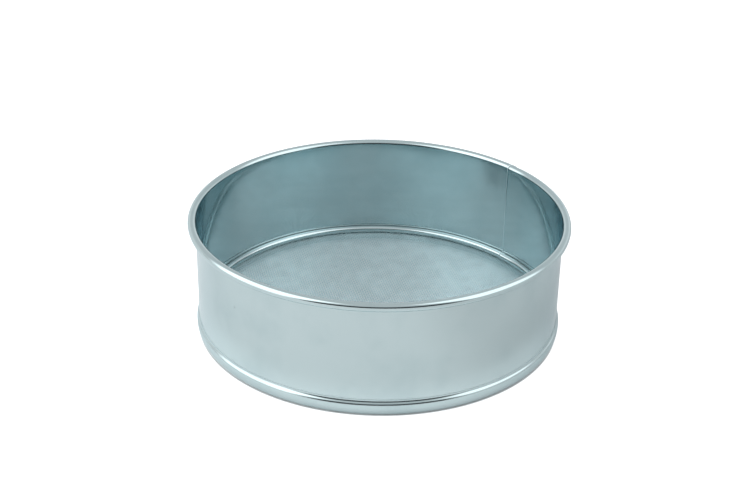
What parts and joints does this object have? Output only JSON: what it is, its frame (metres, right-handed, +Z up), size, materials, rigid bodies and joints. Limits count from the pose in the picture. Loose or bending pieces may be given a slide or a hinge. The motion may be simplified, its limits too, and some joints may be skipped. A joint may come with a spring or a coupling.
{
  "type": "test sieve",
  "caption": "Round laboratory test sieve: a rolled-edge sheet steel frame with woven wire cloth clamped across its base by a low hoop.",
  "frame": {"origin": "on the sieve's axis, in the plane that it stands on", "axes": "+Z up the axis, out of the open top; the frame's lap seam is 41 degrees from +X towards +Y"},
  "size_m": [0.2094, 0.2094, 0.0661],
  "materials": {
    "frame_steel": "satin outside, mirror-bright inside",
    "cloth_wire": "drawn wire, dull bright",
    "hoop_steel": "bright rolled strip"
  },
  "bodies": {
    "root": {"frame_shell": "frame_steel", "wire_cloth": "cloth_wire", "clamp_hoop": "hoop_steel"}
  },
  "joints": []
}
